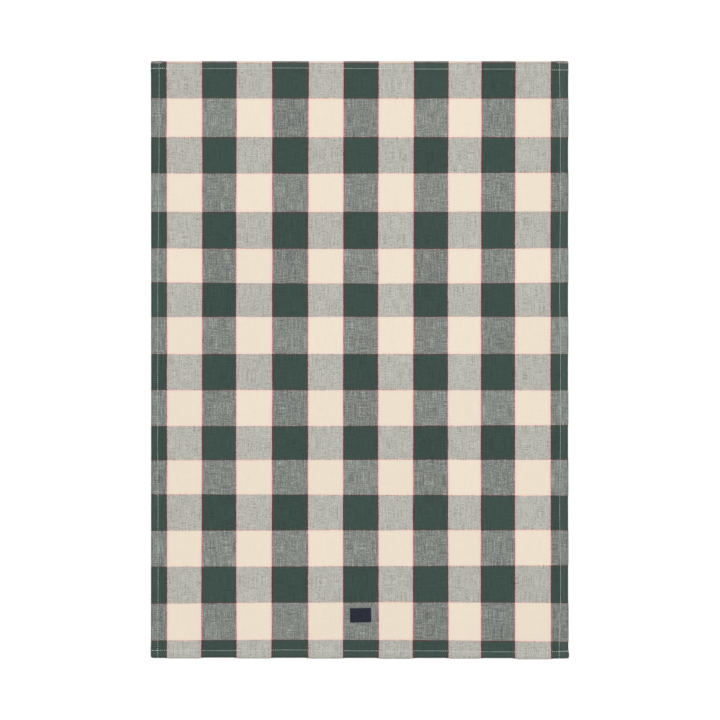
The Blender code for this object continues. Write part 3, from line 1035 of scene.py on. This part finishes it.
def make_thread_material(name, rgb):
    """Spun sewing thread of two plies: dull, with a slight sheen on top of each twist.

    The twist is 0.3 mm long, too fine to show, so it is drawn as slow changes along the thread,
    0.7 of them to the millimetre.
    """
    material, tree, shader = new_material(name)
    place = add_node(tree, "ShaderNodeTexCoord").outputs["Object"]
    spots = add_node(tree, "ShaderNodeTexNoise", {"Vector": place, "Scale": 0.7 / MM, "Detail": 1})
    gain = {"Value": spots, "From Min": 0.3, "From Max": 0.7, "To Min": 0.8, "To Max": 1.05}
    gain = add_node(tree, "ShaderNodeMapRange", gain)
    toned = add_node(tree, "ShaderNodeVectorMath", {0: tuple(rgb), 3: gain}, operation="SCALE")
    tree.links.new(toned.outputs[0], shader.inputs["Base Color"])
    bump = {"Height": spots.outputs[0], "Strength": 0.4, "Distance": 0.05 * MM}
    bump = add_node(tree, "ShaderNodeBump", bump)
    tree.links.new(bump.outputs[0], shader.inputs["Normal"])
    shader.inputs["Roughness"].default_value = 0.6
    return material


def line_places():
    """The four hem lines as arrays of s and d, from edge to edge."""
    along_side = np.arange(LINE_END, LENGTH - LINE_END, LINE_STEP)
    along_end = np.arange(LINE_END, WIDTH - LINE_END, LINE_STEP)
    left, right, _, _ = stitch_lines(along_side, along_side)
    _, _, lower, upper = stitch_lines(along_end, along_end)
    sides = [(left, along_side), (WIDTH - right, along_side)]
    ends = [(along_end, lower), (along_end, LENGTH - upper)]
    return sides, ends


def back_tack_places():
    """The short lines that are sewn twice, as arrays of s and d."""
    part = np.linspace(0, 1, TACK_POINTS)
    return [
        (
            (tack.from_s + (tack.to_s - tack.from_s) * part) * MM,
            (tack.from_d + (tack.to_d - tack.from_d) * part) * MM,
        )
        for tack in BACK_TACKS
    ]


def make_hem_stitches(cloth, stitches):
    """The hems' stitches, four pieces: along the sides and the ends, on the face and the back."""
    tree = stitch_tree()
    thread = make_thread_material("off_white_sewing_thread", stitches.thread)
    sides, ends = line_places()
    ends += back_tack_places()
    values = {
        "Stitch length": stitches.length,
        "Shown share": stitches.shown,
        "Unevenness": stitches.unevenness,
        "Seed": stitches.seed,
        "Thread": thread,
    }
    pieces = []
    for group, lines, width in (("side", sides, stitches.side_thread), ("end", ends, stitches.end_thread)):
        values["Thread width"] = width
        face = [on_face(s, d, cloth) for s, d in lines]
        under = [lay(s, d, np.full_like(s, BOBBIN_CLEAR), cloth) for s, d in lines]
        needle = {**values, "Rise": width, "Dip": stitches.dip}
        bobbin = {**values, "Rise": -BOBBIN_BEND * width, "Dip": -stitches.dip}
        pieces.append(sew(group + "_stitches", tree, face, needle))
        pieces.append(sew(group + "_stitches_under", tree, under, bobbin))
    return pieces


def on_label(across, up, height, cloth):
    """Points of the label, from its middle, laid on the cloth below it."""
    x = LABEL_MIDDLE.x + across * math.cos(LABEL_TILT) - up * math.sin(LABEL_TILT)
    y = LABEL_MIDDLE.y + across * math.sin(LABEL_TILT) + up * math.cos(LABEL_TILT)
    ground = on_face(x - LEFT, y - LOWER, cloth)[..., 2]
    return np.stack([x, y, ground + height], axis=-1)


def label_level(across, label):
    """The label's top layer: 1 over its folded ends and 0 between them."""
    from_end = LABEL_WIDTH / 2 - np.abs(across)
    return 1 - smooth(from_end - label.turned, *LABEL_STEP)


def make_label(cloth, label):
    """The label: a cut of woven ribbon with both ends folded under."""
    half_width = LABEL_WIDTH / 2
    radius = label.layer / 2
    turn_centre = half_width - radius - label.thickness / 2
    top = np.linspace(-turn_centre, turn_centre, LABEL_COLUMNS)
    bend = np.linspace(0, math.pi, LABEL_STEPS + 1)[1:]
    under = np.linspace(turn_centre, half_width - label.turned, LABEL_STEPS + 1)[1:]
    flat, steps = np.zeros(LABEL_COLUMNS), np.ones(LABEL_STEPS)

    centre = np.concatenate([-under[::-1], -turn_centre * steps, top, turn_centre * steps, under])
    turn = np.concatenate([math.pi * steps, bend[::-1], flat, bend, math.pi * steps])
    outward = np.concatenate([0 * steps, -steps, flat, steps, 0 * steps])
    level = np.where(turn == 0, label_level(centre, label), (1 + np.cos(turn)) / 2)
    rows = np.linspace(-LABEL_HEIGHT / 2, LABEL_HEIGHT / 2, LABEL_ROWS)[:, None]

    grids = []
    for side in (1, -1):
        half = side * label.thickness / 2
        across = centre + outward * (radius + half) * np.sin(turn) + 0 * rows
        # The ends are drawn in a little by their stitches, and the woven edges are thinner.
        height = label.layer * (level + 0.5) + half * np.cos(turn) + LABEL_CLEAR
        to_edge = LABEL_HEIGHT / 2 - np.abs(rows)
        edge = 1 - LABEL_EDGE_THINNER * (1 - smooth(to_edge, 0, LABEL_EDGE))
        stitched = half_width - label.stitch_inset - np.abs(across)
        pulled = 1 - LABEL_PRESSED * (1 - smooth(np.abs(stitched), 0, LABEL_PULL))
        grids.append(on_label(across, rows + 0 * across, height * edge * pulled, cloth))
    face, back = grids

    lengths = np.abs(np.diff(centre)) + np.abs(np.diff(turn)) * radius
    along = np.concatenate([[0], np.cumsum(lengths)])
    ribbon = (along + 0 * rows, rows + LABEL_HEIGHT / 2 + 0 * along)
    maps = {"Ribbon": ribbon, "OFBake": (ribbon[0] / along[-1], ribbon[1] / LABEL_HEIGHT)}
    piece = sheet_object("woven_label", face, back, maps)
    piece.data.materials.append(make_label_material(label))
    return piece, (along[-1], LABEL_HEIGHT)


def make_label_material(label):
    """Damask-woven polyester ribbon: fine, close ribs with a low silky sheen.

    The real ribs are 0.15 mm apart, too fine to show, and are drawn four times as coarse.
    """
    material, tree, shader = new_material("woven_polyester_ribbon")
    ribbon = add_node(tree, "ShaderNodeUVMap", uv_map="Ribbon")
    ribs = {0: ribbon, 1: (0, math.tau / LABEL_RIB, 0)}
    ribs = add_node(tree, "ShaderNodeVectorMath", ribs, operation="MULTIPLY")
    ribs = add_node(tree, "ShaderNodeVectorMath", {0: ribs}, operation="SINE")
    ribs = add_node(tree, "ShaderNodeSeparateXYZ", {0: ribs})
    cloudy = streaks(tree, ribbon, 5 * MM, 0.8 * MM)
    tone = {"Value": cloudy, "From Min": 0.3, "From Max": 0.7, "To Min": 0.75, "To Max": 1.3}
    tone = add_node(tree, "ShaderNodeMapRange", tone)
    toned = add_node(tree, "ShaderNodeVectorMath", {0: tuple(label.ground), 3: tone}, operation="SCALE")
    tree.links.new(toned.outputs[0], shader.inputs["Base Color"])
    relief = {0: ribs.outputs[1], 1: 0.3, 2: cloudy}
    relief = add_node(tree, "ShaderNodeMath", relief, operation="MULTIPLY_ADD")
    bump = add_node(tree, "ShaderNodeBump", {"Height": relief, "Strength": 0.35, "Distance": 0.1 * MM})
    tree.links.new(bump.outputs[0], shader.inputs["Normal"])
    shader.inputs["Roughness"].default_value = 0.55
    shader.inputs["Specular IOR Level"].default_value = 0.15
    return material


def make_label_stitches(cloth, label, stitches):
    """The label's own stitches, in its colour, across each folded end."""
    lighter = [LABEL_THREAD_LIGHTER * channel for channel in label.ground]
    thread = make_thread_material("navy_sewing_thread", lighter)
    line_end = LABEL_HEIGHT / 2 - LABEL_LINE_END
    up = np.linspace(-line_end, line_end, LABEL_LINE_POINTS)
    paths = []
    for end in (-1, 1):
        across = np.full_like(up, end * (LABEL_WIDTH / 2 - label.stitch_inset))
        paths.append(on_label(across, up, LABEL_LINE_LAYERS * label.layer, cloth))
    values = {
        "Stitch length": label.stitch,
        "Thread width": label.thread,
        "Shown share": 0.8,
        "Rise": 1.6 * label.thread,
        "Dip": 0.8 * label.thickness,
        "Unevenness": 0.08,
        "Seed": stitches.seed,
        "Thread": thread,
    }
    return sew("label_stitches", stitch_tree(), paths, values)


def make_floor(stage):
    """A plain white floor under the towel."""
    mesh = bpy.data.meshes.new("floor")
    half = stage.floor_size / 2
    corners = [(-half, -half, 0), (half, -half, 0), (half, half, 0), (-half, half, 0)]
    mesh.from_pydata(corners, [], [(0, 1, 2, 3)])
    material, tree, shader = new_material("white_painted_floor")
    place = add_node(tree, "ShaderNodeTexCoord").outputs["Object"]
    mottle = add_node(tree, "ShaderNodeTexNoise", {"Vector": place, "Scale": 3, "Detail": 2})
    tone = {"Value": mottle, "From Min": 0.3, "From Max": 0.7, "To Min": 0.95, "To Max": 0.98}
    tone = add_node(tree, "ShaderNodeMapRange", tone)
    tree.links.new(tone.outputs[0], shader.inputs["Base Color"])
    shader.inputs["Roughness"].default_value = 0.9
    shader.inputs["Specular IOR Level"].default_value = 0.2
    mesh.materials.append(material)
    floor = bpy.data.objects.new("floor", mesh)
    bpy.context.scene.collection.objects.link(floor)
    return floor


def aim(thing, target):
    """Turns a light from its place towards a point."""
    thing.rotation_euler = (Vector(target) - thing.location).to_track_quat("-Z", "Y").to_euler()


def make_light(stage):
    """Even light from all round, and one large soft light above the towel's upper end."""
    world = bpy.data.worlds.new("studio")
    world.use_nodes = True
    background = world.node_tree.nodes["Background"]
    background.inputs["Color"].default_value = (1, 1, 1, 1)
    background.inputs["Strength"].default_value = stage.sky
    bpy.context.scene.world = world
    lamp = bpy.data.lights.new("soft_key", "AREA")
    lamp.shape = "SQUARE"
    lamp.size = stage.key_size
    lamp.energy = stage.key
    key = bpy.data.objects.new("soft_key", lamp)
    key.location = KEY_PLACE
    aim(key, (0, 0, 0))
    bpy.context.scene.collection.objects.link(key)


def make_camera(stage):
    """A camera straight above the towel, with the towel's length upright in its picture."""
    lens = bpy.data.cameras.new("camera")
    lens.lens = stage.lens
    lens.sensor_width = SENSOR
    height = stage.view_width * stage.lens / lens.sensor_width
    camera = bpy.data.objects.new("camera", lens)
    camera.location = (*CAMERA_PLACE, height)
    bpy.context.scene.collection.objects.link(camera)
    bpy.context.scene.camera = camera


class TEATOWEL_OT_stage(bpy.types.Operator):
    """Adds the floor, the light and the camera"""

    bl_idname = "tea_towel.stage"
    bl_label = "Stage"

    def execute(self, context):
        stage = context.scene.towel_stage
        make_floor(stage)
        make_light(stage)
        make_camera(stage)
        context.scene.view_settings.view_transform = "Standard"
        return {"FINISHED"}


class TEATOWEL_OT_cloth(bpy.types.Operator):
    """Adds the checked cloth with its turned hems"""

    bl_idname = "tea_towel.cloth"
    bl_label = "Cloth"

    def execute(self, context):
        scene = context.scene
        piece, cut = make_cloth(scene.towel_cloth, scene.towel_check)
        piece["cut"] = cut
        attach(piece, "root")
        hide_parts("towel")
        return {"FINISHED"}


class TEATOWEL_OT_hem_stitches(bpy.types.Operator):
    """Adds the hems' stitches, on the face and the back"""

    bl_idname = "tea_towel.hem_stitches"
    bl_label = "Hem stitches"

    def execute(self, context):
        scene = context.scene
        pieces = make_hem_stitches(scene.towel_cloth, scene.towel_stitches)
        for piece in pieces:
            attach(piece, "root")
        return {"FINISHED"}


class TEATOWEL_OT_label(bpy.types.Operator):
    """Adds the woven label and its stitches"""

    bl_idname = "tea_towel.label"
    bl_label = "Label"

    def execute(self, context):
        scene = context.scene
        piece, cut = make_label(scene.towel_cloth, scene.towel_label)
        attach(piece, "root")
        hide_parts("label")
        sewn = make_label_stitches(scene.towel_cloth, scene.towel_label, scene.towel_stitches)
        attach(sewn, "root")
        return {"FINISHED"}


class TEATOWEL_PT_panel(bpy.types.Panel):
    """Lists the towel's pieces and their settings"""

    bl_idname = "TEATOWEL_PT_panel"
    bl_label = "Tea Towel"
    bl_space_type = "VIEW_3D"
    bl_region_type = "UI"
    bl_category = "Tea Towel"

    def draw(self, context):
        for operator, groups in PIECES:
            box = self.layout.box()
            box.operator(operator.bl_idname)
            for group in groups:
                settings = getattr(context.scene, group)
                for name in settings.__annotations__:
                    box.prop(settings, name)


PIECES = (
    (TEATOWEL_OT_stage, ("towel_stage",)),
    (TEATOWEL_OT_cloth, ("towel_cloth", "towel_check")),
    (TEATOWEL_OT_hem_stitches, ("towel_stitches",)),
    (TEATOWEL_OT_label, ("towel_label",)),
)
GROUPS = {
    "towel_stage": StageSettings,
    "towel_cloth": ClothSettings,
    "towel_check": CheckSettings,
    "towel_stitches": StitchSettings,
    "towel_label": LabelSettings,
}
CLASSES = (*GROUPS.values(), *(operator for operator, _ in PIECES), TEATOWEL_PT_panel)


def register():
    for item in CLASSES:
        bpy.utils.register_class(item)
    for name, group in GROUPS.items():
        setattr(bpy.types.Scene, name, PointerProperty(type=group))


def unregister():
    for name in GROUPS:
        delattr(bpy.types.Scene, name)
    for item in reversed(CLASSES):
        bpy.utils.unregister_class(item)


def main():
    register()
    bpy.ops.tea_towel.stage()
    bpy.ops.tea_towel.cloth()
    bpy.ops.tea_towel.hem_stitches()
    bpy.ops.tea_towel.label()


if __name__ == "__main__":
    main()
